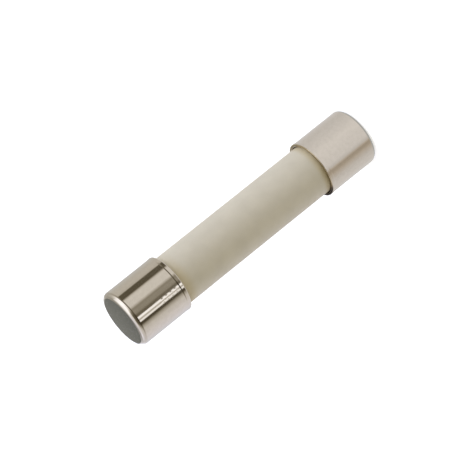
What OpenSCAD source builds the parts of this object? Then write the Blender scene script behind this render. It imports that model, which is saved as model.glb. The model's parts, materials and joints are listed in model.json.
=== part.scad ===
// Ceramic cartridge fuse, standing on one end.
// Millimetres. The axis is Z, and the bottom cap's flat end face lies on Z = 0.
// Two deep-drawn metal cups close a ceramic tube. Solder in the floor of each cup holds the tube
// and the bent tail of the fuse wire, and quartz sand fills the bore around the wire.

/* [Fuse] */
// Overall length, over the two end faces
fuse_length = 31.75; // [28:0.25:38]

/* [End caps] */
// Outer diameter of a cap, which the fuse clips grip
cap_d = 6.35; // [6:0.05:7]
// Length of a cap along the fuse
cap_length = 6.25; // [5:0.05:8]
// Thickness of the drawn sheet
cap_wall = 0.3; // [0.2:0.05:0.4]
// Bend radius inside the cap, between its floor and its side
cap_bend_r = 0.2; // [0.05:0.05:0.3]
// Length of the flared band at the cap's open end
rim_band = 0.5; // [0.3:0.05:1]
// Angle at which the band flares outwards
rim_flare_angle = 3.5; // [1:0.5:6]
// Radius that rounds the two edges of the rim
rim_edge_r = 0.07; // [0.02:0.01:0.09]

/* [Ceramic tube] */
// Gap between the tube and the cap around it
tube_clearance = 0.09; // [0.05:0.01:0.15]
// Diameter of the bore through the tube
tube_bore_d = 3.8; // [2.6:0.1:4.2]
// Radius of the tube's fired inner and outer edges
tube_edge_r = 0.2; // [0.1:0.05:0.3]

/* [Solder] */
// Solder between the wire and the cap's floor
wire_cover = 0.18; // [0.1:0.02:0.4]
// How far the solder climbs around the outside of the tube
solder_collar = 0.45; // [0.35:0.05:1]
// How far the solder climbs inside the bore, at its wall
solder_plug = 0.55; // [0.35:0.05:1]
// Height of the solder's dome in the bore above its edge
solder_dome = 0.3; // [0.1:0.05:0.6]

/* [Fuse wire] */
// Diameter of the wire
wire_d = 0.28; // [0.1:0.02:0.34]
// Solder between the wire and the ceramic that it is bent around
wire_lift = 0.08; // [0.05:0.01:0.12]
// Distance from the wire's cut end to the side of the cap
wire_end_gap = 0.25; // [0.15:0.05:0.5]

/* [Hidden] */
$fn = 96;

cap_r = cap_d / 2;
cap_inner_r = cap_r - cap_wall;
cap_corner_r = cap_bend_r + cap_wall;
// Height at which the cap's straight side turns into the flared band
rim_start = cap_length - rim_band * cos(rim_flare_angle) + rim_edge_r * sin(rim_flare_angle);

tube_r = cap_inner_r - tube_clearance;
bore_r = tube_bore_d / 2;

// The wire leans across the bore and bends over the tube's rounded inner edge at each end.
// A bend is square, so its tail dips towards the tube's end face by no more than wire_dip.
wire_r = wire_d / 2;
bend_r = tube_edge_r + wire_lift + wire_r;
bend_x = bore_r + tube_edge_r;
wire_tail = cap_inner_r - wire_end_gap - bend_x;
wire_dip = wire_tail * 2 * bend_x / fuse_length;

solder_depth = wire_dip + wire_lift + wire_d + wire_cover;
tube_start = cap_wall + solder_depth;
tube_length = fuse_length - 2 * tube_start;

// The lean at which the straight run touches both bends, whose centres are bend_rise from its middle.
bend_rise = tube_length / 2 - tube_edge_r + wire_dip;
wire_slant = acos(bend_r / norm([bend_x, bend_rise])) - atan2(bend_rise, bend_x);
wire_run = 2 * (bend_x * sin(wire_slant) + bend_rise * cos(wire_slant));

// The dome of solder is part of a sphere that meets the bore's wall at the plug's edge.
plug_edge_z = tube_start + solder_plug;
dome_r = (bore_r * bore_r + solder_dome * solder_dome) / (2 * solder_dome);
dome_centre_z = plug_edge_z + solder_dome - dome_r;

ceramic_colour = [0.84, 0.82, 0.75];
nickel_colour = [0.78, 0.75, 0.71];
solder_colour = [0.62, 0.63, 0.65];
wire_colour = [0.83, 0.8, 0.76];
sand_colour = [0.82, 0.77, 0.66];

// Turns a bottom piece end for end, to its place at the top of the fuse.
module at_top() {
    translate([0, 0, fuse_length]) mirror([0, 0, 1]) children();
}

// Half section of a solid with a flat bottom and one rounded corner.
module cup_form(radius, height, corner) {
    square([radius - corner, height]);
    translate([0, corner]) square([radius, height - corner]);
    translate([radius - corner, corner]) circle(corner);
}

// Section of the cap's flared band, standing on its inner edge. Both edges of the rim are round.
module band_section() {
    square([cap_wall, rim_band - rim_edge_r]);
    translate([rim_edge_r, 0]) square([cap_wall - 2 * rim_edge_r, rim_band]);
    for (x = [rim_edge_r, cap_wall - rim_edge_r])
        translate([x, rim_band - rim_edge_r]) circle(rim_edge_r);
}

// Half section of a cap with its floor on Z = 0: one cup of even wall, and its flared band.
module cap_section() {
    difference() {
        cup_form(cap_r, rim_start, cap_corner_r);
        translate([0, cap_wall]) cup_form(cap_inner_r, cap_length, cap_bend_r);
    }
    translate([cap_inner_r, rim_start]) rotate(-rim_flare_angle) band_section();
}

// Half section of the tube wall, with all four corners rounded.
module tube_section() {
    wall = tube_r - bore_r;
    translate([bore_r, tube_start]) {
        translate([tube_edge_r, 0]) square([wall - 2 * tube_edge_r, tube_length]);
        translate([0, tube_edge_r]) square([wall, tube_length - 2 * tube_edge_r]);
        for (x = [tube_edge_r, wall - tube_edge_r], z = [tube_edge_r, tube_length - tube_edge_r])
            translate([x, z]) circle(tube_edge_r);
    }
}

// Half section of the domed front of the bottom solder in the bore, from the axis outwards.
module dome_section() {
    intersection() {
        translate([0, dome_centre_z]) circle(dome_r);
        translate([0, tube_start]) square([bore_r, solder_plug + solder_dome]);
    }
}

// Half section of the bottom solder: the cap's floor filled, a collar outside the tube, a plug inside.
module solder_section() {
    difference() {
        union() {
            intersection() {
                translate([0, cap_wall]) cup_form(cap_inner_r, cap_length, cap_bend_r);
                square([cap_r, tube_start + solder_collar]);
            }
            dome_section();
        }
        tube_section();
        // Above the plug's edge the bore holds only the dome.
        difference() {
            translate([0, tube_start]) square([bore_r, cap_length]);
            dome_section();
        }
    }
}

// One square bend of the wire at the end of its run, and the tail that lies across the tube's end.
module wire_bend() {
    translate([bend_r, 0, wire_run / 2]) {
        rotate([90, 0, 0])
            rotate_extrude(angle = 90, start = 90)
                translate([bend_r, 0]) circle(wire_r);
        translate([0, 0, bend_r]) rotate([0, 90, 0]) cylinder(r = wire_r, h = wire_tail);
    }
}

// The whole wire, leaning in the bore. Its two ends are the same, turned about its middle.
module wire_form() {
    translate([0, 0, fuse_length / 2]) rotate([0, wire_slant, 0]) {
        cylinder(r = wire_r, h = wire_run, center = true);
        for (turn = [0, 180]) rotate([0, turn, 0]) wire_bend();
    }
}

module solder_joint() {
    rotate_extrude() solder_section();
}

module ceramic_tube() {
    color(ceramic_colour) rotate_extrude() tube_section();
}

module bottom_end_cap() {
    color(nickel_colour) rotate_extrude() cap_section();
}

module top_end_cap() {
    color(nickel_colour) at_top() rotate_extrude() cap_section();
}

module bottom_solder_joint() {
    color(solder_colour) difference() {
        solder_joint();
        wire_form();
    }
}

module top_solder_joint() {
    color(solder_colour) difference() {
        at_top() solder_joint();
        wire_form();
    }
}

module fuse_wire() {
    color(wire_colour) wire_form();
}

// The sand fills the bore between the two domes of solder, and the wire runs through it.
module sand_filler() {
    color(sand_colour) difference() {
        translate([0, 0, tube_start]) cylinder(r = bore_r, h = tube_length);
        solder_joint();
        at_top() solder_joint();
        wire_form();
    }
}

ceramic_tube();
bottom_end_cap();
top_end_cap();
bottom_solder_joint();
top_solder_joint();
fuse_wire();
sand_filler();
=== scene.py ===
"""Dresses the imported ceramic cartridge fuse: drawn nickel caps, a fired ceramic tube and its filling.

The fuse stands on one end on a pale floor. The camera looks down on it and is rolled, so that the fuse
lies aslant in the picture. Lengths are in metres, and the frame gives the place of every piece.
"""

import json
import math

import bmesh
import bpy
from bpy.props import FloatProperty, FloatVectorProperty, IntProperty, PointerProperty
from bpy.types import Operator, Panel, PropertyGroup
from mathutils import Matrix, Vector


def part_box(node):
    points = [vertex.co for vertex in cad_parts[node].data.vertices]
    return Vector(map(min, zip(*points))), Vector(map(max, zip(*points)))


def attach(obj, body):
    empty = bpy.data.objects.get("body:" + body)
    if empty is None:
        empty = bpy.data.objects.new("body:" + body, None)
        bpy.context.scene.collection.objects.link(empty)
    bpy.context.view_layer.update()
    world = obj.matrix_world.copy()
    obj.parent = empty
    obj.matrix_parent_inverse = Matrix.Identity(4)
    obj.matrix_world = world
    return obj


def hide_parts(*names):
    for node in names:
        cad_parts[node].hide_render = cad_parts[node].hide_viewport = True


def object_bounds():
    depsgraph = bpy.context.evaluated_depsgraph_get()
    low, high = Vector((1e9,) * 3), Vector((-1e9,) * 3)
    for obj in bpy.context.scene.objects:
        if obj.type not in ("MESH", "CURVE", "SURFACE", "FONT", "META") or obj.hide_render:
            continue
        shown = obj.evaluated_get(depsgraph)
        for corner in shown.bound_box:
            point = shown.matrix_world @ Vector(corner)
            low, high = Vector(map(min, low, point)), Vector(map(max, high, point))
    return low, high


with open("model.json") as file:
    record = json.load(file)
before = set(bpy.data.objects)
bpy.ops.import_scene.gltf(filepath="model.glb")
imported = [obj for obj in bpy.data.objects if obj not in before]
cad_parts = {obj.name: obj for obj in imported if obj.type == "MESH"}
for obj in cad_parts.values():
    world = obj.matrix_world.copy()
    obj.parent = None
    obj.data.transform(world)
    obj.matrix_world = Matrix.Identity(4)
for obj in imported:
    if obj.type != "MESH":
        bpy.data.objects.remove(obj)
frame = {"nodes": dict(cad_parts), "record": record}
CAD_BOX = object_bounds()

bl_info = {
    "name": "Ceramic Cartridge Fuse",
    "version": (1, 0, 0),
    "blender": (4, 5, 0),
    "location": "View3D > Sidebar > Fuse",
    "description": "Builds the finished surfaces of a ceramic cartridge fuse around its solids",
    "category": "Add Mesh",
}

MM = 0.001
MICRON = 0.000001
MERGE_DISTANCE = 0.00001 * MM

FUSE_LENGTH = CAD_BOX[1].z
TUBE_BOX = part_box("ceramic_tube")
CAP_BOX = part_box("bottom_end_cap")
SOLDER_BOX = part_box("bottom_solder_joint")
CLIP_MOUNT = next(mount for mount in frame["record"]["mounts"] if mount["name"] == "bottom_clip")

# Side of the square picture, and where the middle of the fuse lies in it, in pixels from the upper left.
PICTURE_SIDE = 455
MIDDLE_IN_PICTURE = (241.5, 225.85)


def length_setting(name, description, default):
    """A length in the sidebar."""
    return FloatProperty(name=name, description=description, default=default, unit="LENGTH", precision=6)


def colour_setting(name, description, default, highest=1):
    """A colour in the sidebar, with no channel above highest."""
    return FloatVectorProperty(
        name=name,
        description=description,
        default=default,
        subtype="COLOR",
        size=3,
        min=0,
        max=highest,
    )


class FuseCapSizes(PropertyGroup):
    """The drawn caps. The frame gives their length and how far their rims flare."""

    side_radius: length_setting(
        name="Side radius",
        description="Outer radius of the straight side, which the clips grip",
        default=CLIP_MOUNT["dims"]["r_mm"] * MM,
    )
    wall: length_setting(
        name="Sheet thickness",
        description="Thickness of the drawn sheet",
        default=SOLDER_BOX[0].z,
    )
    bend_radius: length_setting(
        name="Bend radius",
        description="Outer radius of the bend between the end face and the side",
        default=0.5 * MM,
    )
    rim_band: length_setting(
        name="Rim band",
        description="Length of the flared band at the open end",
        default=0.5 * MM,
    )
    crease: length_setting(
        name="Crease",
        description="Length of the steeper step where the flared band starts",
        default=0.13 * MM,
    )
    crease_angle: FloatProperty(
        name="Crease angle",
        description="Slope of that step",
        default=math.radians(8),
        subtype="ANGLE",
    )
    edge_radius: length_setting(
        name="Rim edge radius",
        description="Radius of the two edges of the rim",
        default=0.07 * MM,
    )
    segments: IntProperty(
        name="Segments",
        description="Number of facets around a plain cap",
        default=240,
        min=24,
    )
    stamped_segments: IntProperty(
        name="Segments of the stamped cap",
        description="Number of facets around the cap with the stamped dots",
        default=480,
        min=24,
    )


class FuseStampSizes(PropertyGroup):
    """A row of plain low dots, stamped in the side of the top cap along its length."""

    low: length_setting(
        name="Start",
        description="Height of the first dot above the cap's rim",
        default=0.95 * MM,
    )
    pitch: length_setting(
        name="Pitch",
        description="Distance from one dot to the next",
        default=0.56 * MM,
    )
    count: IntProperty(
        name="Dots",
        description="Number of dots",
        default=4,
        min=1,
    )
    azimuth: FloatProperty(
        name="Azimuth",
        description="Place of the row, from the front towards the left",
        default=math.radians(16),
        subtype="ANGLE",
    )
    dot_radius: length_setting(
        name="Dot radius",
        description="Radius of a dot, to the middle of its slope",
        default=0.18 * MM,
    )
    slope: length_setting(
        name="Slope",
        description="Half the width of a dot's slope",
        default=0.09 * MM,
    )
    height: length_setting(
        name="Relief",
        description="Height of a dot above the cap's side",
        default=0.005 * MM,
    )
    mesh_step: length_setting(
        name="Mesh step",
        description="Distance between the rings of the mesh that carries the dots",
        default=0.042 * MM,
    )


class FuseTubeSizes(PropertyGroup):
    """The ceramic tube. The frame gives its length and outer radius."""

    bore_radius: length_setting(
        name="Bore radius",
        description="Radius of the bore, which the sand fills",
        default=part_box("sand_filler")[1].x,
    )
    edge_radius: length_setting(
        name="Edge radius",
        description="Radius of the fired edges",
        default=0.2 * MM,
    )
    segments: IntProperty(
        name="Segments",
        description="Number of facets around the tube",
        default=240,
        min=24,
    )


class FuseFinishes(PropertyGroup):
    """Colours of the finishes, the tints of the painted shade on the tube and of the darkening on the lower
    cap's rim, and how far the shade on the tube reaches.
    """

    nickel: colour_setting(
        name="Nickel",
        description="Colour of the nickel plating",
        default=(0.66, 0.60, 0.52),
    )
    ceramic: colour_setting(
        name="Ceramic",
        description="Colour of the fired body",
        default=(0.59, 0.535, 0.42),
    )
    solder: colour_setting(
        name="Solder",
        description="Colour of the soft solder",
        default=(0.56, 0.57, 0.58),
    )
    silver: colour_setting(
        name="Silvered wire",
        description="Colour of the silvered copper wire",
        default=(0.83, 0.78, 0.72),
    )
    sand: colour_setting(
        name="Quartz sand",
        description="Colour of the quartz grains",
        default=(0.62, 0.54, 0.42),
    )
    # Painted shade: the tint with which the tube is darkened next to both caps' rims.
    stain: colour_setting(
        name="Stain",
        description="Tint of the flux stain on the tube",
        default=(0.91, 0.85, 0.7),
    )
    # Painted shadow: the tint with which the tube is darkened where it enters the lower cap.
    gap_shadow_tint: colour_setting(
        name="Stain in the gap",
        description="Tint of the tube where it enters the lower cap",
        default=(0.36, 0.29, 0.21),
    )
    # The tint with which the end of the lower cap's rim is darkened all round.
    rim_tint: colour_setting(
        name="Stain on the rim",
        description="Tint of the end of the lower cap's rim",
        default=(0.84, 0.78, 0.64),
    )
    # Painted shadow: the tint with which the left of the lower cap's rim is darkened nearly to black.
    rim_shadow_tint: colour_setting(
        name="Residue",
        description="Tint of the burnt flux at the left of the lower cap's rim",
        default=(0.1, 0.07, 0.05),
    )
    # How far the painted shade on the tube reaches from each cap's rim.
    low_shade_reach: length_setting(
        name="Lower stain",
        description="How far the stain reaches up the tube from the lower cap",
        default=0.9 * MM,
    )
    high_shade_reach: length_setting(
        name="Upper stain",
        description="How far the stain reaches down the tube from the top cap",
        default=1.7 * MM,
    )


class FuseStudio(PropertyGroup):
    """The camera, the lamps and the light cards that the metal mirrors."""

    camera_distance: length_setting(
        name="Camera distance",
        description="Distance from the camera to the middle of the fuse",
        default=231.3 * MM,
    )
    camera_elevation: FloatProperty(
        name="Camera elevation",
        description="How far the camera looks down",
        default=math.radians(20.1),
        subtype="ANGLE",
    )
    camera_roll: FloatProperty(
        name="Camera roll",
        description="Turn of the camera about its line of sight",
        default=math.radians(-128.7),
        subtype="ANGLE",
    )
    focal_length: FloatProperty(
        name="Focal length",
        description="Focal length on a 36 mm sensor, in millimetres",
        default=182.7,
        subtype="DISTANCE_CAMERA",
    )
    tent_radius: length_setting(
        name="Tent radius",
        description="Radius of the ring of cards around the fuse",
        default=76 * MM,
    )
    air: colour_setting(
        name="Air",
        description="Light of the surroundings on the fuse",
        default=(0.507, 0.479, 0.352),
        highest=2,
    )
    floor_mirrored: FloatProperty(
        name="Mirrored floor",
        description="Brightness of the floor as the metal mirrors it",
        default=0.9,
        min=0,
    )
    key: FloatProperty(
        name="Key",
        description="Light that the key lamp gives a surface that faces it",
        default=0.6,
        min=0,
    )
    key_tint: colour_setting(
        name="Key tint",
        description="Colour of the key lamp",
        default=(0.93, 1.02, 1.37),
        highest=2,
    )
    fill: FloatProperty(
        name="Fill",
        description="Light that the fill lamp gives a surface that faces it",
        default=0.36,
        min=0,
    )
    fill_tint: colour_setting(
        name="Fill tint",
        description="Colour of the fill lamp",
        default=(0.93, 1.0, 1.5),
        highest=2,
    )
    floor_radius: length_setting(
        name="Floor radius",
        description="Radius of the floor, which ends where the lamps still light it",
        default=300 * MM,
    )
    floor_lift: FloatProperty(
        name="Floor lift",
        description="Light that the floor adds for the camera, which makes it white",
        default=0.5,
        min=0,
    )


# Shapes


def wire_chain(bm, points):
    """Adds a chain of edges through (radius, height) points in the XZ plane and returns its vertices."""
    verts = [bm.verts.new((radius, 0, height)) for radius, height in points]
    for start, end in zip(verts, verts[1:]):
        bm.edges.new((start, end))
    return verts


def round_corner(bm, vert, radius, segments):
    """Puts an arc of this radius in place of a chain's corner."""
    one, other = ((edge.other_vert(vert).co - vert.co).normalized() for edge in vert.link_edges)
    turn = math.pi - one.angle(other)
    bmesh.ops.bevel(
        bm,
        geom=[vert],
        offset=radius * math.tan(turn / 2),
        segments=segments,
        profile=0.5,
        affect="VERTICES",
        material=-1,
    )


def spin_round(bm, segments):
    """Spins the chain full circle about Z, closes its seam and poles, and points its faces outwards."""
    bmesh.ops.spin(
        bm,
        geom=bm.verts[:] + bm.edges[:],
        cent=(0, 0, 0),
        axis=(0, 0, 1),
        dvec=(0, 0, 0),
        angle=math.tau,
        steps=segments,
        use_merge=True,
        use_duplicate=False,
    )
    bmesh.ops.remove_doubles(bm, verts=bm.verts, dist=MERGE_DISTANCE)
    bmesh.ops.recalc_face_normals(bm, faces=bm.faces)


def ladder(start, end, step):
    """Heights from start to end, evenly spaced by about one step, without the two ends."""
    count = max(1, round((end - start) / step))
    return [start + (end - start) * i / count for i in range(1, count)]


def link(name, bm, material):
    """Makes a bmesh a smooth mesh object in the scene."""
    mesh = bpy.data.meshes.new(name)
    bm.to_mesh(mesh)
    bm.free()
    mesh.shade_smooth()
    mesh.materials.append(material)
    made = bpy.data.objects.new(name, mesh)
    bpy.context.scene.collection.objects.link(made)
    return made


def dressed(name, bm, material, node):
    """Links a piece that stands for a CAD node, on the fuse's one body."""
    piece = link(name, bm, material)
    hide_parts(node)
    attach(piece, "root")
    return piece


def smooth_step(low, high, value):
    """0 below low, 1 above high, and a smooth rise between."""
    share = min(1, max(0, (value - low) / (high - low)))
    return share * share * (3 - 2 * share)


# Nodes

# The stretch of a pattern that has none.
EVEN = (1, 1, 1)
WHITE = (1, 1, 1, 1)


def feed(tree, node, inputs):
    """Sets a node's inputs, by name or number. An output is linked, and a plain value is written."""
    for socket, value in inputs.items():
        if isinstance(value, bpy.types.NodeSocket):
            tree.links.new(value, node.inputs[socket])
        else:
            node.inputs[socket].default_value = value


def add_node(tree, kind, inputs, **settings):
    """A new node with these inputs and settings."""
    node = tree.nodes.new(kind)
    for setting, value in settings.items():
        setattr(node, setting, value)
    feed(tree, node, inputs)
    return node


def combine(tree, operation, one, other):
    """The result of a maths operation on two outputs or plain numbers."""
    return add_node(tree, "ShaderNodeMath", {0: one, 1: other}, operation=operation).outputs["Value"]


def blend(tree, kind, factor, one, other):
    """A blend of this kind between two colours, by factor."""
    inputs = {"Factor": factor, "A": one, "B": other}
    return add_node(tree, "ShaderNodeMix", inputs, data_type="RGBA", blend_type=kind).outputs["Result"]


def fade(tree, value, start, end, smooth=False):
    """A value that falls from 1 at start to 0 at end."""
    inputs = {"Value": value, "From Min": start, "From Max": end, "To Min": 1, "To Max": 0}
    shape = "SMOOTHERSTEP" if smooth else "LINEAR"
    return add_node(tree, "ShaderNodeMapRange", inputs, interpolation_type=shape).outputs["Result"]


def object_place(tree):
    """Where a point lies in the piece's object coordinates."""
    return tree.nodes.new("ShaderNodeTexCoord").outputs["Object"]


def object_axis(tree, axis):
    """One of the object coordinates: "X", "Y" or "Z"."""
    return add_node(tree, "ShaderNodeSeparateXYZ", {"Vector": object_place(tree)}).outputs[axis]


def fade_across(tree, radius, span, smooth=False):
    """A value that falls from 1 to 0 across a round piece, between the two ends of a span in radii."""
    start, end = (share * radius for share in span)
    return fade(tree, object_axis(tree, "X"), start, end, smooth)


# Shader groups

# The values between which the noise texture mostly lies.
NOISE_SPAN = (0.32, 0.68)


def group_with(name, inputs, output, output_kind):
    """A shader node group with these inputs, each (name, kind, default), and one output."""
    tree = bpy.data.node_groups.new(name, "ShaderNodeTree")
    for socket_name, kind, default in inputs:
        socket = tree.interface.new_socket(name=socket_name, in_out="INPUT", socket_type=kind)
        socket.default_value = default
    tree.interface.new_socket(name=output, in_out="OUTPUT", socket_type=output_kind)
    return tree, tree.nodes.new("NodeGroupInput").outputs, tree.nodes.new("NodeGroupOutput")


def stretched_noise(tree, entry):
    """Noise in object coordinates, stretched and scaled by the group's inputs."""
    factors = {0: object_place(tree), 1: entry["Stretch"]}
    stretched = add_node(tree, "ShaderNodeVectorMath", factors, operation="MULTIPLY")
    inputs = {"Vector": stretched.outputs["Vector"], "Scale": entry["Scale"], "Detail": 3}
    return add_node(tree, "ShaderNodeTexNoise", inputs).outputs["Fac"]


def build_surface_mottle():
    """A value that wanders from Low to High in soft patches."""
    inputs = [
        ("Scale", "NodeSocketFloat", 1000),
        ("Stretch", "NodeSocketVector", EVEN),
        ("Low", "NodeSocketFloat", 0),
        ("High", "NodeSocketFloat", 1),
    ]
    tree, entry, leave = group_with("surface_mottle", inputs, "Value", "NodeSocketFloat")
    low, high = NOISE_SPAN
    spread = {
        "Value": stretched_noise(tree, entry),
        "From Min": low,
        "From Max": high,
        "To Min": entry["Low"],
        "To Max": entry["High"],
    }
    feed(tree, leave, {"Value": add_node(tree, "ShaderNodeMapRange", spread).outputs["Result"]})


def build_micro_relief():
    """Fine relief: a height in metres that is Depth at most, for a Bump node."""
    inputs = [
        ("Scale", "NodeSocketFloat", 1000),
        ("Stretch", "NodeSocketVector", EVEN),
        ("Depth", "NodeSocketFloat", 2 * MICRON),
    ]
    tree, entry, leave = group_with("micro_relief", inputs, "Height", "NodeSocketFloat")
    feed(tree, leave, {"Height": combine(tree, "MULTIPLY", stretched_noise(tree, entry), entry["Depth"])})


def build_tint_by_height():
    """A tint over a colour: whole at the height Full and gone at Clear, both raised by Lift."""
    inputs = [
        ("Colour", "NodeSocketColor", WHITE),
        ("Tint", "NodeSocketColor", WHITE),
        ("Full", "NodeSocketFloat", 0),
        ("Clear", "NodeSocketFloat", 1),
        ("Lift", "NodeSocketFloat", 0),
        ("Share", "NodeSocketFloat", 1),
    ]
    tree, entry, leave = group_with("tint_by_height", inputs, "Colour", "NodeSocketColor")
    height = combine(tree, "SUBTRACT", object_axis(tree, "Z"), entry["Lift"])
    by_height = fade(tree, height, entry["Full"], entry["Clear"], smooth=True)
    factor = combine(tree, "MULTIPLY", by_height, entry["Share"])
    feed(tree, leave, {"Colour": blend(tree, "MULTIPLY", factor, entry["Colour"], entry["Tint"])})


def build_shader_groups():
    """Builds the groups that the finishes share, once."""
    if "surface_mottle" not in bpy.data.node_groups:
        build_surface_mottle()
        build_micro_relief()
        build_tint_by_height()


def place_group(tree, name, inputs):
    """The output of a shared group, placed in a material with inputs of its own."""
    return add_node(tree, "ShaderNodeGroup", inputs, node_tree=bpy.data.node_groups[name]).outputs[0]


def mottle(tree, scale, low=0, high=1, stretch=EVEN):
    """A value that wanders from low to high in soft patches."""
    inputs = {"Scale": scale, "Stretch": stretch, "Low": low, "High": high}
    return place_group(tree, "surface_mottle", inputs)


def tint_by_height(tree, colour, tint, full, clear, share=1, lift=0):
    """A colour with a tint over it, between two heights and as far as share says."""
    inputs = {
        "Colour": colour,
        "Tint": (*tint, 1),
        "Full": full,
        "Clear": clear,
        "Lift": lift,
        "Share": share,
    }
    return place_group(tree, "tint_by_height", inputs)


def relief(tree, layers):
    """Normals from the sum of several layers of relief, each (scale, stretch, depth)."""
    total = None
    for scale, stretch, depth in layers:
        height = place_group(tree, "micro_relief", {"Scale": scale, "Stretch": stretch, "Depth": depth})
        total = height if total is None else combine(tree, "ADD", total, height)
    return add_node(tree, "ShaderNodeBump", {"Distance": 1, "Height": total}).outputs["Normal"]


def shade(colour, share):
    """A colour made darker or lighter, with full alpha."""
    return (*(min(1, channel * share) for channel in colour), 1)


def shades(tree, colour, factor, dark, light):
    """A colour between its dark and its light shade, by factor."""
    return blend(tree, "MIX", factor, shade(colour, dark), shade(colour, light))


# Finishes

# How far below the rim's edge its darkening ends, and the heights above it between which all darkening ends.
RIM_TINT_DEPTH = 0.12 * MM
RIM_TINT_TOP = (0.1 * MM, 0.2 * MM)
# Distance from the rims to where the painted shade on the tube is whole.
LOW_SHADE_START = 0.05 * MM
HIGH_SHADE_START = 0.1 * MM
# Where the painted shadow in the gap is whole and where it ends, above the lower rim, and its rise at the
# left.
GAP_SHADOW_SPAN = (-0.14 * MM, 0.02 * MM)
GAP_SHADOW_RISE = 0.1 * MM
# Where painted shade is whole and where it ends across the piece, in radii from the left (-1) to the right
# (1).
RIM_SHADOW_ACROSS = (-0.9, -0.72)
HIGH_SHADE_ACROSS = (0, 1.2)
GAP_SHADOW_ACROSS = (-1.2, 0.5)
GAP_RISE_ACROSS = (-1, -0.75)
# Scale of the pattern of sand grains, and how far their tones differ.
GRAIN_SCALE = 4500
GRAIN_CONTRAST = 0.25


def new_finish(name):
    """An empty finish: a material, its nodes and its shader."""
    build_shader_groups()
    material = bpy.data.materials.new(name)
    material.use_nodes = True
    tree = material.node_tree
    return material, tree, tree.nodes["Principled BSDF"]


def drawn_nickel(finishes):
    """Bright nickel on a deep-drawn cup, with faint lines along the draw."""
    material, tree, shader = new_finish("drawn_nickel")
    colour = shades(tree, finishes.nickel, mottle(tree, scale=2600), dark=0.975, light=1.025)
    draw_lines = (5200, (1, 1, 0.06), 0.25 * MICRON)
    waves = (1100, EVEN, 0.35 * MICRON)
    inputs = {
        "Metallic": 1,
        "Base Color": darkened_rim(tree, finishes, colour),
        "Roughness": mottle(tree, scale=2600, low=0.05, high=0.1, stretch=(1, 1, 0.3)),
        "Normal": relief(tree, [draw_lines, waves]),
    }
    feed(tree, shader, inputs)
    return material


def darkened_rim(tree, finishes, colour):
    """Darkens the end of the lower cap's rim: a brown tint all round, and a painted shadow at its left that
    is nearly black.
    """
    rim = CAP_BOX[1].z
    clear = rim - RIM_TINT_DEPTH
    # The top cap has this finish too, but no darkening.
    off_top_cap = fade(tree, object_axis(tree, "Z"), *(rim + above for above in RIM_TINT_TOP))
    at_left = fade_across(tree, CAP_BOX[1].x, RIM_SHADOW_ACROSS, smooth=True)
    # A painted shadow, nearly black, at the left of the lower cap's rim.
    burnt = combine(tree, "MULTIPLY", off_top_cap, at_left)
    colour = tint_by_height(tree, colour, finishes.rim_tint, rim, clear, share=off_top_cap)
    return tint_by_height(tree, colour, finishes.rim_shadow_tint, rim, clear, share=burnt)


def fired_ceramic(finishes):
    """Unglazed fired body: matte, finely grained and a little cloudy, with painted shade by the caps."""
    material, tree, shader = new_finish("fired_ceramic")
    colour = shades(tree, finishes.ceramic, mottle(tree, scale=700), dark=0.97, light=1.03)
    grain = (9000, EVEN, 3 * MICRON)
    waves = (500, EVEN, 6 * MICRON)
    inputs = {
        "Specular IOR Level": 0.25,
        "Base Color": tube_with_painted_shade(tree, finishes, colour),
        "Roughness": mottle(tree, scale=2200, low=0.46, high=0.58),
        "Normal": relief(tree, [grain, waves]),
    }
    feed(tree, shader, inputs)
    return material


def tube_with_painted_shade(tree, finishes, colour):
    """Painted brown shade on the tube, which fades away from the rims of both caps.

    Where the tube enters the lower cap, painted shadow makes it nearly dark, most of all on the left.
    """
    radius = TUBE_BOX[1].x
    low_rim, high_rim = CAP_BOX[1].z, FUSE_LENGTH - CAP_BOX[1].z
    # Painted shade on the tube above the lower cap's rim.
    full, clear = low_rim + LOW_SHADE_START, low_rim + finishes.low_shade_reach
    colour = tint_by_height(tree, colour, finishes.stain, full, clear)

    # Painted shade on the tube below the top cap's rim, on the left side only.
    full, clear = high_rim - HIGH_SHADE_START, high_rim - finishes.high_shade_reach
    at_left = fade_across(tree, radius, HIGH_SHADE_ACROSS)
    colour = tint_by_height(tree, colour, finishes.stain, full, clear, share=at_left)

    # Painted shadow where the tube enters the lower cap, darkest and reaching highest at the left.
    full, clear = (low_rim + above for above in GAP_SHADOW_SPAN)
    to_left = fade_across(tree, radius, GAP_SHADOW_ACROSS)
    gap_shadow_lift = combine(tree, "MULTIPLY", fade_across(tree, radius, GAP_RISE_ACROSS), GAP_SHADOW_RISE)
    return tint_by_height(tree, colour, finishes.gap_shadow_tint, full, clear, share=to_left, lift=gap_shadow_lift)


def soft_solder(finishes):
    """Dull frozen solder with shallow ripples."""
    material, tree, shader = new_finish("soft_solder")
    ripples = (1800, EVEN, 12 * MICRON)
    inputs = {
        "Metallic": 1,
        "Base Color": shades(tree, finishes.solder, mottle(tree, scale=1500), dark=0.85, light=1.1),
        "Roughness": mottle(tree, scale=2500, low=0.28, high=0.5),
        "Normal": relief(tree, [ripples]),
    }
    feed(tree, shader, inputs)
    return material


def silvered_wire(finishes):
    """Drawn wire with fine lines along it."""
    material, tree, shader = new_finish("silvered_wire")
    draw_lines = (20000, (1, 1, 0.03), MICRON)
    inputs = {
        "Metallic": 1,
        "Base Color": shades(tree, finishes.silver, mottle(tree, scale=4000), dark=0.93, light=1.05),
        "Roughness": mottle(tree, scale=9000, low=0.18, high=0.3, stretch=(1, 1, 0.05)),
        "Normal": relief(tree, [draw_lines]),
    }
    feed(tree, shader, inputs)
    return material


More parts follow.
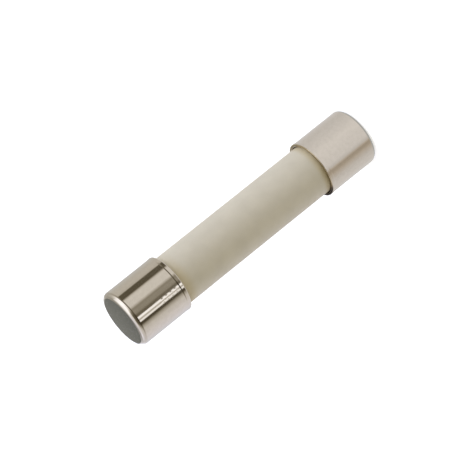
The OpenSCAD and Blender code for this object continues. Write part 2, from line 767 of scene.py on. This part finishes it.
def quartz_sand(finishes):
    """Packed quartz grains, each with its own tone."""
    material, tree, shader = new_finish("quartz_sand")
    grains = add_node(tree, "ShaderNodeTexVoronoi", {"Vector": object_place(tree), "Scale": GRAIN_SCALE})
    spread = {"Value": grains.outputs["Color"], "To Min": -GRAIN_CONTRAST, "To Max": GRAIN_CONTRAST}
    tone = add_node(tree, "ShaderNodeMapRange", spread).outputs["Result"]
    factor = combine(tree, "ADD", mottle(tree, scale=1200), tone)
    inputs = {
        "Base Color": shades(tree, finishes.sand, factor, dark=0.8, light=1.15),
        "Roughness": mottle(tree, scale=GRAIN_SCALE, low=0.4, high=0.75),
        "Normal": relief(tree, [(GRAIN_SCALE, EVEN, 60 * MICRON)]),
    }
    feed(tree, shader, inputs)
    return material


# Pieces

# Distance from a bend to the ring of the mesh that keeps the bend's shading off the plain face.
HOLD = 0.02 * MM
# Number of facets along the cap's bend, along the edges of its rim and along the tube's edges.
BEND_STEPS = 14
RIM_STEPS = 5
TUBE_EDGE_STEPS = 6
# Distance between rings of the mesh on the plain cap, on the rest of the stamped cap and on the tube.
PLAIN_STEP = 0.8 * MM
COARSE_STEP = 0.5 * MM
TUBE_STEP = 0.6 * MM


def cap_bmesh(sizes, heights, segments):
    """A cap with its floor on Z = 0. heights are more rings of the mesh on its straight side."""
    length = CAP_BOX[1].z
    radius = sizes.side_radius
    rim_start = length - sizes.rim_band
    crease_end = rim_start + sizes.crease
    slope = math.tan(sizes.crease_angle)
    crease_radius = radius + sizes.crease * slope
    rim_radius = CAP_BOX[1].x
    flare = (rim_radius - crease_radius) / (length - crease_end)
    band_end = length - sizes.edge_radius - HOLD
    chain = [
        (0, 0),
        (radius - sizes.bend_radius - HOLD, 0),
        (radius, 0),
        (radius, sizes.bend_radius + HOLD),
        *((radius, height) for height in heights),
        (radius, rim_start - HOLD),
        (radius, rim_start),
        (radius + HOLD * slope, rim_start + HOLD),
        (crease_radius - HOLD * slope, crease_end - HOLD),
        (crease_radius, crease_end),
        (crease_radius + HOLD * flare, crease_end + HOLD),
        (rim_radius - (length - band_end) * flare, band_end),
        (rim_radius, length),
        (rim_radius - sizes.wall, length),
        (radius - sizes.wall, rim_start),
        (radius - sizes.wall, sizes.wall),
        (0, sizes.wall),
    ]
    bm = bmesh.new()
    verts = wire_chain(bm, chain)
    round_corner(bm, verts[2], sizes.bend_radius, BEND_STEPS)
    for vert in (verts[-5], verts[-4]):
        round_corner(bm, vert, sizes.edge_radius, RIM_STEPS)
    spin_round(bm, segments)
    return bm


def turn_end_for_end(bm):
    """Turns a bottom piece to its place at the top of the fuse."""
    middle = (0, 0, FUSE_LENGTH / 2)
    bmesh.ops.rotate(bm, verts=bm.verts, cent=middle, matrix=Matrix.Rotation(math.pi, 3, "X"))


def stamped_height(stamp, side_radius, azimuth, above_rim):
    """How far the stamped dots stand out at this place on the top cap's side."""
    across = (azimuth - stamp.azimuth) * side_radius
    along = above_rim - stamp.low
    nearest_dot = min(stamp.count - 1, max(0, round(along / stamp.pitch)))
    away = math.hypot(across, along - nearest_dot * stamp.pitch)
    inner, outer = stamp.dot_radius - stamp.slope, stamp.dot_radius + stamp.slope
    return stamp.height * (1 - smooth_step(inner, outer, away))


def stamp_dots(bm, sizes, stamp):
    """Raises the dots by moving the fine mesh of the top cap's side outwards."""
    rim = FUSE_LENGTH - CAP_BOX[1].z
    for vert in bm.verts:
        radius = math.hypot(vert.co.x, vert.co.y)
        if abs(radius - sizes.side_radius) < MERGE_DISTANCE:
            azimuth = math.atan2(-vert.co.x, -vert.co.y)
            out = stamped_height(stamp, sizes.side_radius, azimuth, vert.co.z - rim)
            vert.co.x *= 1 + out / radius
            vert.co.y *= 1 + out / radius


class FUSE_OT_draw_caps(Operator):
    """Builds the two deep-drawn nickel caps"""

    bl_idname = "fuse.draw_caps"
    bl_label = "Draw End Caps"

    def execute(self, context):
        sizes = context.scene.fuse_caps
        stamp = context.scene.fuse_stamp
        nickel = drawn_nickel(context.scene.fuse_finishes)
        length = CAP_BOX[1].z

        rings = ladder(sizes.bend_radius, length - sizes.rim_band, PLAIN_STEP)
        plain = cap_bmesh(sizes, rings, sizes.segments)
        dressed("nickel_cap_bottom", plain, nickel, "bottom_end_cap")

        # The fine rings reach well past the last dot.
        stamp_end = stamp.low + (stamp.count + 0.5) * stamp.pitch
        fine = ladder(length - stamp_end, length - sizes.rim_band, stamp.mesh_step)
        coarse = ladder(sizes.bend_radius, length - stamp_end, COARSE_STEP)
        stamped = cap_bmesh(sizes, coarse + fine, sizes.stamped_segments)
        turn_end_for_end(stamped)
        stamp_dots(stamped, sizes, stamp)
        dressed("nickel_cap_top", stamped, nickel, "top_end_cap")
        return {"FINISHED"}


class FUSE_OT_fire_tube(Operator):
    """Builds the fired ceramic tube"""

    bl_idname = "fuse.fire_tube"
    bl_label = "Fire Ceramic Tube"

    def execute(self, context):
        sizes = context.scene.fuse_tube
        low, high = TUBE_BOX[0].z, TUBE_BOX[1].z
        radius = TUBE_BOX[1].x
        bm = bmesh.new()
        inner = [(sizes.bore_radius, height) for height in (low, high)]
        outer = [(radius, height) for height in (high, *reversed(ladder(low, high, TUBE_STEP)), low)]
        verts = wire_chain(bm, inner + outer)
        bm.edges.new((verts[-1], verts[0]))
        for vert in (verts[0], verts[1], verts[2], verts[-1]):
            round_corner(bm, vert, sizes.edge_radius, TUBE_EDGE_STEPS)
        spin_round(bm, sizes.segments)
        ceramic = fired_ceramic(context.scene.fuse_finishes)
        dressed("fired_tube", bm, ceramic, "ceramic_tube")
        return {"FINISHED"}


class FUSE_OT_dress_filling(Operator):
    """Gives the solder, the wire and the sand inside the fuse their finishes"""

    bl_idname = "fuse.dress_filling"
    bl_label = "Dress the Filling"

    def execute(self, context):
        finishes = context.scene.fuse_finishes
        solder = soft_solder(finishes)
        given = {
            "bottom_solder_joint": solder,
            "top_solder_joint": solder,
            "fuse_wire": silvered_wire(finishes),
            "sand_filler": quartz_sand(finishes),
        }
        for node, material in given.items():
            solid = frame["nodes"][node]
            for slot in solid.material_slots:
                slot.material = material
        return {"FINISHED"}


# Stage

# Brightness of the rings of cards, by azimuth in degrees from the front towards the left (-X).
SIDE_TONES = [
    # Grey walls behind and on the right
    (-180, 0.55), (-150, 0.64), (-95, 0.66), (-84, 0.6),
    # A dark screen on the right
    (-80, 0.115), (-60, 0.115),
    # A white panel beside the camera
    (-52, 0.78), (-47, 0.84), (-21, 0.84),
    # The shaded place of the camera
    (-10, 0.31), (-3, 0.35), (7, 0.34), (14, 0.17), (21, 0.17),
    # Two strip lamps, with a dim gap between them
    (23, 1.4), (29, 1.4), (31, 0.6), (35, 0.6), (37, 1.3), (41, 1.25),
    # A dark screen next to the lamps
    (44, 0.08), (51, 0.08),
    # White walls on the left and behind
    (59, 0.44), (71, 0.74), (101, 0.87), (128, 0.88), (150, 0.78), (180, 0.55),
]
GAP_TONES = [
    # A white wall behind
    (-180, 1.7), (-173, 1.0), (-160, 0.55), (-96, 0.5), (-77, 0.32),
    # The dark gap in front, above the side cards
    (-60, 0.16), (-20, 0.16), (0, 0.14), (15, 0.05), (50, 0.05),
    (60, 0.22), (75, 0.45), (100, 0.75), (145, 0.8), (165, 1.4), (180, 1.7),
]
# The high cards and the low roof have tones for their lower edge and for their upper edge.
HIGH_TONES = [
    (-180, 0.6), (-165, 0.5), (-138, 0.55), (-114, 0.64), (-97, 0.8),
    # A bright panel at the right of the front
    (-86, 1.3), (-75, 1.6), (-45, 1.5), (-20, 0.9),
    # A dark screen at the left of the front
    (-5, 0.25), (10, 0.11), (48, 0.11),
    (57, 0.28), (65, 0.5), (80, 0.78), (130, 0.72), (150, 0.8), (165, 0.9), (180, 0.6),
]
HIGH_TOP_TONES = [
    # A dark screen behind
    (-180, 0.35), (-165, 0.3), (-150, 0.38), (-130, 0.6), (-114, 0.75),
    # The bright panel at the right
    (-104, 1.1), (-95, 1.4), (-65, 1.6), (-45, 1.5), (-20, 0.9),
    (-5, 0.25), (10, 0.11), (48, 0.13),
    # A bright panel at the left, which ends at the dark screen
    (57, 0.28), (65, 0.5), (80, 0.8), (110, 0.9), (125, 1.2), (140, 1.2),
    (150, 0.5), (158, 0.15), (170, 0.15), (180, 0.35),
]
LOW_ROOF_TONES = [
    (-180, 0.4), (-165, 0.4), (-150, 0.5),
    # The bright panel at the right, where it bends over the fuse
    (-135, 0.8), (-120, 1.1), (-97, 1.6), (-30, 1.7), (-8, 0.8), (0, 0.45),
    # The dark screen below it
    (10, 0.2), (45, 0.15),
    # The bright panel at the left
    (55, 0.3), (65, 0.6), (80, 0.85), (110, 0.95), (130, 1.15), (142, 0.9), (152, 0.4), (180, 0.4),
]
LOW_ROOF_TOP_TONES = [
    (-180, 1.1), (-163, 0.95), (-140, 1.1), (-120, 1.45), (-97, 1.6),
    (-30, 1.7), (-8, 0.8), (0, 0.45), (10, 0.22), (45, 0.2),
    (60, 0.65), (80, 0.85), (150, 0.82), (165, 0.88), (180, 1.1),
]
HIGH_ROOF_TONES = [(-180, 1.2), (-150, 1.35), (-20, 1.6), (0, 1.1), (30, 1.0), (150, 1.0), (180, 1.2)]

# Brightness of the floor where the bottom cap mirrors it, by azimuth on the cap.
FLOOR_TONES = [
    (-90, 0.6), (-80, 0.78), (-52, 0.765), (-30, 0.85), (-16, 0.93), (-1, 0.885), (14, 0.85), (20, 0.71),
    # The edge of a shadow on the floor
    (25, 0.44), (29, 0.47), (34, 0.59), (43, 0.72),
    (55, 0.81), (72, 0.82), (90, 0.6),
]

# Heights of the edges between the rings of cards, of which the first three stand on the tent's radius.
SIDE_TOP = 17 * MM
GAP_TOP = 47 * MM
HIGH_TOP = 102 * MM
# Radius and height of the bend in the roof, and of the small hole at its top.
ROOF_BEND = (45 * MM, 113 * MM)
ROOF_TOP = (2 * MM, 120 * MM)

# Number of facets around a ring of cards, the floor's fan, the foot ring and the floor.
RING_SEGMENTS = 720
FAN_SEGMENTS = 360
FOOT_RING_SEGMENTS = 180
FLOOR_SEGMENTS = 96

# How far the two cards behind the fuse stand in front of the tent.
REAR_CARD_AWAY = 3 * MM
# Half the width of the end card, its lower and upper edge, and its light at those edges.
END_CARD_HALF_WIDTH = 10 * MM
END_CARD_HEIGHTS = (46 * MM, 59 * MM)
END_CARD_TINTS = ((0.5, 0.53, 0.52), (0, 0, 0))
# Half the width of the rim card, its lower and upper edge, and its light at its left and right edge.
RIM_CARD_HALF_WIDTH = 14 * MM
RIM_CARD_HEIGHTS = (33 * MM, 43 * MM)
RIM_CARD_TINTS = ((0.02, 0.018, 0.014), (0.5, 0.48, 0.38))

# How far the floor's fan of cards reaches, and how high it and the ring at the fuse's foot lie.
FAN_REACH = 30 * MM
FAN_HEIGHT = 0.005 * MM
FOOT_RING_HEIGHT = 0.01 * MM
# How far the foot ring reaches inwards and outwards from the cap's side.
FOOT_RING_REACH = (0.45 * MM, 0.13 * MM)
FOOT_RING_TINT = (0.55, 0.58, 0.61)

FLOOR_COLOUR = (0.88, 0.88, 0.88, 1)
# The camera's sensor in millimetres, and how near and how far the camera sees.
SENSOR_WIDTH = 36
CLIP_RANGE = (10 * MM, 3000 * MM)
# Azimuth and elevation of the lamps, their distance from the fuse and their side.
KEY_PLACE = (math.radians(-75), math.radians(35))
FILL_PLACE = (math.radians(130), math.radians(30))
LAMP_DISTANCE = 400 * MM
LAMP_SIDE = 250 * MM

# Azimuths in degrees between which the left and the rear cards turn cool.
COOL_LEFT = (50, 120)
COOL_REAR = (100, 150)
# How much more blue the left cards give, and how much more green and blue the rear ones.
LEFT_BLUE = 0.09
REAR_GREEN = 0.03
REAR_BLUE = 0.08
# Powers of a card's brightness for its red and its blue, which make dark cards warm.
CARD_RED_POWER = 0.94
CARD_BLUE_POWER = 1.16
# Tones between which the mirrored floor loses its warmth, that warmth in red and in blue, and its blue.
FLOOR_WARM_SPAN = (0.45, 0.8)
FLOOR_WARM_RED = 0.11
FLOOR_WARM_BLUE = 0.17
FLOOR_BLUE = 1.02


def tone_at(tones, angle):
    """The brightness that a table of tones gives at this angle."""
    for (start, low), (end, high) in zip(tones, tones[1:]):
        if angle <= end:
            return low + (high - low) * (angle - start) / (end - start)
    return tones[-1][1]


def card_tint(tone, angle):
    """The colour of a card of this brightness. Dark cards are warm, and the left and rear ones cool."""
    left = smooth_step(*COOL_LEFT, angle)
    rear = smooth_step(*COOL_REAR, abs(angle))
    red = tone ** CARD_RED_POWER
    green = tone * (1 + REAR_GREEN * rear)
    blue = tone ** CARD_BLUE_POWER * (1 + LEFT_BLUE * left + REAR_BLUE * rear)
    return red, green, blue


def floor_tint(tone):
    """The colour of the mirrored floor of this brightness. Its darker part is warm."""
    warm = 1 - smooth_step(*FLOOR_WARM_SPAN, tone)
    red = tone * (1 + FLOOR_WARM_RED * warm)
    blue = tone * (FLOOR_BLUE - FLOOR_WARM_BLUE * warm)
    return red, tone, blue


def stage_tree(name):
    """A new material for the stage, and its empty node tree."""
    material = bpy.data.materials.new(name)
    material.use_nodes = True
    material.node_tree.nodes.clear()
    return material, material.node_tree


def card_glow():
    """Light of the colour that a mesh carries as "shine"."""
    if "card_glow" in bpy.data.materials:
        return bpy.data.materials["card_glow"]
    material, tree = stage_tree("card_glow")
    shine = add_node(tree, "ShaderNodeVertexColor", {}, layer_name="shine")
    glow = add_node(tree, "ShaderNodeEmission", {"Color": shine.outputs["Color"]})
    add_node(tree, "ShaderNodeOutputMaterial", {"Surface": glow.outputs["Emission"]})
    return material


def add_card(name, bm, tint_at):
    """Links a card of light that only shows in reflections. tint_at gives its colour at a vertex."""
    shine = bm.verts.layers.float_color.new("shine")
    for vert in bm.verts:
        vert[shine] = (*tint_at(vert), 1)
    card = link(name, bm, card_glow())
    card.visible_camera = False
    card.visible_diffuse = False
    card.visible_transmission = False
    card.visible_volume_scatter = False
    card.visible_shadow = False


def add_card_ring(name, lower, upper, low_tones, high_tones):
    """One ring of cards around the fuse, between two (radius, height) edges with tones of their own."""
    bm = bmesh.new()
    wire_chain(bm, [lower, upper])
    spin_round(bm, RING_SEGMENTS)
    middle = (lower[1] + upper[1]) / 2

    def tint_at(vert):
        tones = low_tones if vert.co.z < middle else high_tones
        angle = math.degrees(math.atan2(-vert.co.x, -vert.co.y))
        return card_tint(tone_at(tones, angle), angle)

    add_card(name, bm, tint_at)


def add_rear_card(name, radius, half_width, heights, tint_at):
    """A flat card behind the fuse, a little in front of the tent."""
    low, high = heights
    bm = bmesh.new()
    edge = [bm.verts.new((side * half_width, radius - REAR_CARD_AWAY, low)) for side in (-1, 1)]
    bm.edges.new(edge)
    bmesh.ops.extrude_edge_only(bm, edges=bm.edges)
    raised = [vert for vert in bm.verts if vert not in edge]
    bmesh.ops.translate(bm, verts=raised, vec=(0, 0, high - low))
    add_card(name, bm, tint_at)


def add_end_card(radius):
    """The grey card that the top cap's end face mirrors. It darkens upwards."""
    middle = sum(END_CARD_HEIGHTS) / 2

    def tint_at(vert):
        return END_CARD_TINTS[vert.co.z > middle]

    add_rear_card("end_card", radius, END_CARD_HALF_WIDTH, END_CARD_HEIGHTS, tint_at)


def add_rim_card(radius):
    """The dark card that the bottom cap's rim mirrors. It is nearly black at the left."""

    def tint_at(vert):
        return RIM_CARD_TINTS[vert.co.x > 0]

    add_rear_card("rim_card", radius, RIM_CARD_HALF_WIDTH, RIM_CARD_HEIGHTS, tint_at)


def add_floor_fan(cap_radius):
    """A card on the floor that the bottom cap's side mirrors, with one tone for each azimuth on the cap.

    The side mirrors what lies in twice its own azimuth, so the card is a fan of rays that leave the
    cap's foot in those directions.
    """
    bm = bmesh.new()
    bmesh.ops.create_circle(bm, segments=FAN_SEGMENTS, radius=cap_radius)
    foot = bm.verts[:]
    # A quarter of a facet keeps every vertex off the seam behind the cap.
    off_seam = Matrix.Rotation(math.tau / FAN_SEGMENTS / 4, 3, "Z")
    bmesh.ops.rotate(bm, verts=foot, cent=(0, 0, 0), matrix=off_seam)
    made = bmesh.ops.extrude_edge_only(bm, edges=bm.edges)
    tips = [item for item in made["geom"] if isinstance(item, bmesh.types.BMVert)]
    bm.verts.index_update()
    # The circle is folded onto the front half of the cap: its azimuths are halved.
    tints = {}
    for verts, distance in ((foot, 0), (tips, FAN_REACH)):
        for vert in verts:
            mirrored = math.atan2(-vert.co.x, -vert.co.y)
            on_cap = mirrored / 2
            vert.co.x = -math.sin(on_cap) * cap_radius - math.sin(mirrored) * distance
            vert.co.y = -math.cos(on_cap) * cap_radius - math.cos(mirrored) * distance
            vert.co.z = FAN_HEIGHT
            tints[vert.index] = floor_tint(tone_at(FLOOR_TONES, math.degrees(on_cap)))
    add_card("floor_fan", bm, lambda vert: tints[vert.index])


def add_foot_ring(cap_radius):
    """The shaded floor close to the fuse's foot, which the bottom cap's bend mirrors."""
    inwards, outwards = FOOT_RING_REACH
    bm = bmesh.new()
    wire_chain(bm, [(cap_radius - inwards, FOOT_RING_HEIGHT), (cap_radius + outwards, FOOT_RING_HEIGHT)])
    spin_round(bm, FOOT_RING_SEGMENTS)
    add_card("foot_ring", bm, lambda vert: FOOT_RING_TINT)


def add_floor(studio):
    """A pale floor that is white to the camera, keeps the fuse's shadow and is clear from below."""
    material, tree = stage_tree("pale_floor")
    path = tree.nodes.new("ShaderNodeLightPath").outputs
    side = tree.nodes.new("ShaderNodeNewGeometry").outputs
    viewed = combine(tree, "ADD", path["Is Camera Ray"], path["Is Transmission Ray"])
    lift = combine(tree, "MULTIPLY", viewed, studio.floor_lift)
    paint = add_node(tree, "ShaderNodeBsdfDiffuse", {"Color": FLOOR_COLOUR}).outputs[0]
    glow = add_node(tree, "ShaderNodeEmission", {"Strength": lift}).outputs[0]
    seen = add_node(tree, "ShaderNodeAddShader", {0: paint, 1: glow}).outputs[0]
    mirrored = add_node(tree, "ShaderNodeEmission", {"Strength": studio.floor_mirrored}).outputs[0]
    by_ray = {"Fac": path["Is Glossy Ray"], 1: seen, 2: mirrored}
    above = add_node(tree, "ShaderNodeMixShader", by_ray).outputs[0]
    clear = tree.nodes.new("ShaderNodeBsdfTransparent").outputs[0]
    by_side = {"Fac": side["Backfacing"], 1: above, 2: clear}
    surface = add_node(tree, "ShaderNodeMixShader", by_side).outputs[0]
    add_node(tree, "ShaderNodeOutputMaterial", {"Surface": surface})

    bm = bmesh.new()
    bmesh.ops.create_circle(bm, cap_ends=True, segments=FLOOR_SEGMENTS, radius=studio.floor_radius)
    link("pale_floor", bm, material)


def light_air(studio):
    """Even light from all round for the fuse, and white for the camera and for what is mirrored."""
    world = bpy.data.worlds.new("studio_air")
    world.use_nodes = True
    tree = world.node_tree
    path = tree.nodes.new("ShaderNodeLightPath").outputs
    colour = (*studio.air, 1)
    for ray in ("Is Camera Ray", "Is Glossy Ray", "Is Transmission Ray"):
        colour = blend(tree, "MIX", path[ray], colour, WHITE)
    feed(tree, tree.nodes["Background"], {"Color": colour})
    bpy.context.scene.world = world


def add_softbox(name, place, light, tint):
    """A square lamp that faces the fuse's middle. light is what it gives a surface that faces it."""
    azimuth, elevation = place
    area = LAMP_SIDE * LAMP_SIDE
    solid_angle = area / (LAMP_DISTANCE * LAMP_DISTANCE)
    radiance = light * math.pi / solid_angle
    lamp = bpy.data.lights.new(name, "AREA")
    lamp.shape = "SQUARE"
    lamp.size = LAMP_SIDE
    lamp.color = tint
    lamp.energy = radiance * math.pi * area
    made = bpy.data.objects.new(name, lamp)
    flat = math.cos(elevation)
    towards = Vector((-math.sin(azimuth) * flat, -math.cos(azimuth) * flat, math.sin(elevation)))
    made.location = Vector((0, 0, FUSE_LENGTH / 2)) + towards * LAMP_DISTANCE
    made.rotation_mode = "QUATERNION"
    made.rotation_quaternion = towards.to_track_quat("Z", "Y")
    made.visible_camera = False
    made.visible_glossy = False
    bpy.context.scene.collection.objects.link(made)


def aim_camera(studio):
    """Sets the camera in front of the fuse, looking down and rolled, aimed past the fuse's middle."""
    lens = bpy.data.cameras.new("camera")
    lens.lens = studio.focal_length
    lens.sensor_width = SENSOR_WIDTH
    lens.clip_start, lens.clip_end = CLIP_RANGE
    camera = bpy.data.objects.new("camera", lens)
    down = studio.camera_elevation
    right = Vector((1, 0, 0))
    back = Vector((0, -math.cos(down), math.sin(down)))
    upright = Matrix((right, back.cross(right), back)).transposed()
    rolled = upright @ Matrix.Rotation(studio.camera_roll, 3, "Z")
    focal_pixels = lens.lens / lens.sensor_width * PICTURE_SIDE
    half = PICTURE_SIDE / 2
    middle = Vector((MIDDLE_IN_PICTURE[0] - half, half - MIDDLE_IN_PICTURE[1], -focal_pixels))
    aside = middle.rotation_difference(Vector((0, 0, -1))).to_matrix()
    camera.rotation_mode = "QUATERNION"
    camera.rotation_quaternion = (rolled @ aside).to_quaternion()
    camera.location = Vector((0, 0, FUSE_LENGTH / 2)) + back * studio.camera_distance
    bpy.context.scene.collection.objects.link(camera)
    bpy.context.scene.camera = camera


class FUSE_OT_set_stage(Operator):
    """Sets the camera, the floor, the lamps and the cards that the caps mirror"""

    bl_idname = "fuse.set_stage"
    bl_label = "Set the Stage"

    def execute(self, context):
        studio = context.scene.fuse_studio
        cap_radius = context.scene.fuse_caps.side_radius
        radius = studio.tent_radius
        context.scene.view_settings.view_transform = "Standard"
        aim_camera(studio)
        add_floor(studio)
        light_air(studio)
        edges = [(radius, 0), (radius, SIDE_TOP), (radius, GAP_TOP), (radius, HIGH_TOP), ROOF_BEND, ROOF_TOP]
        rings = {
            "side_cards": (SIDE_TONES, SIDE_TONES),
            "gap_cards": (GAP_TONES, GAP_TONES),
            "high_cards": (HIGH_TONES, HIGH_TOP_TONES),
            "low_roof": (LOW_ROOF_TONES, LOW_ROOF_TOP_TONES),
            "high_roof": (HIGH_ROOF_TONES, HIGH_ROOF_TONES),
        }
        for (name, tones), lower, upper in zip(rings.items(), edges, edges[1:]):
            add_card_ring(name, lower, upper, *tones)
        add_end_card(radius)
        add_rim_card(radius)
        add_floor_fan(cap_radius)
        add_foot_ring(cap_radius)
        add_softbox("key", KEY_PLACE, studio.key, studio.key_tint)
        add_softbox("fill", FILL_PLACE, studio.fill, studio.fill_tint)
        return {"FINISHED"}


class FUSE_PT_builder(Panel):
    """Lists the steps that finish the fuse"""

    bl_idname = "FUSE_PT_builder"
    bl_label = "Cartridge Fuse"
    bl_space_type = "VIEW_3D"
    bl_region_type = "UI"
    bl_category = "Fuse"

    def draw(self, context):
        for operator in OPERATORS:
            self.layout.operator(operator.bl_idname)
        for settings in SETTINGS:
            group = getattr(context.scene, settings)
            box = self.layout.box()
            for name in group.bl_rna.properties.keys():
                if name not in ("rna_type", "name"):
                    box.prop(group, name)


SETTINGS = {
    "fuse_caps": FuseCapSizes,
    "fuse_stamp": FuseStampSizes,
    "fuse_tube": FuseTubeSizes,
    "fuse_finishes": FuseFinishes,
    "fuse_studio": FuseStudio,
}
OPERATORS = (FUSE_OT_draw_caps, FUSE_OT_fire_tube, FUSE_OT_dress_filling, FUSE_OT_set_stage)
CLASSES = (*SETTINGS.values(), *OPERATORS, FUSE_PT_builder)


def register():
    """Registers the classes, and gives every scene the settings."""
    for item in CLASSES:
        bpy.utils.register_class(item)
    for name, settings in SETTINGS.items():
        setattr(bpy.types.Scene, name, PointerProperty(type=settings))


def unregister():
    """Takes the settings and the classes away again."""
    for name in SETTINGS:
        delattr(bpy.types.Scene, name)
    for item in reversed(CLASSES):
        bpy.utils.unregister_class(item)


def main():
    """Finishes the whole fuse and sets its stage."""
    register()
    bpy.ops.fuse.draw_caps()
    bpy.ops.fuse.fire_tube()
    bpy.ops.fuse.dress_filling()
    bpy.ops.fuse.set_stage()


if __name__ == "__main__":
    main()
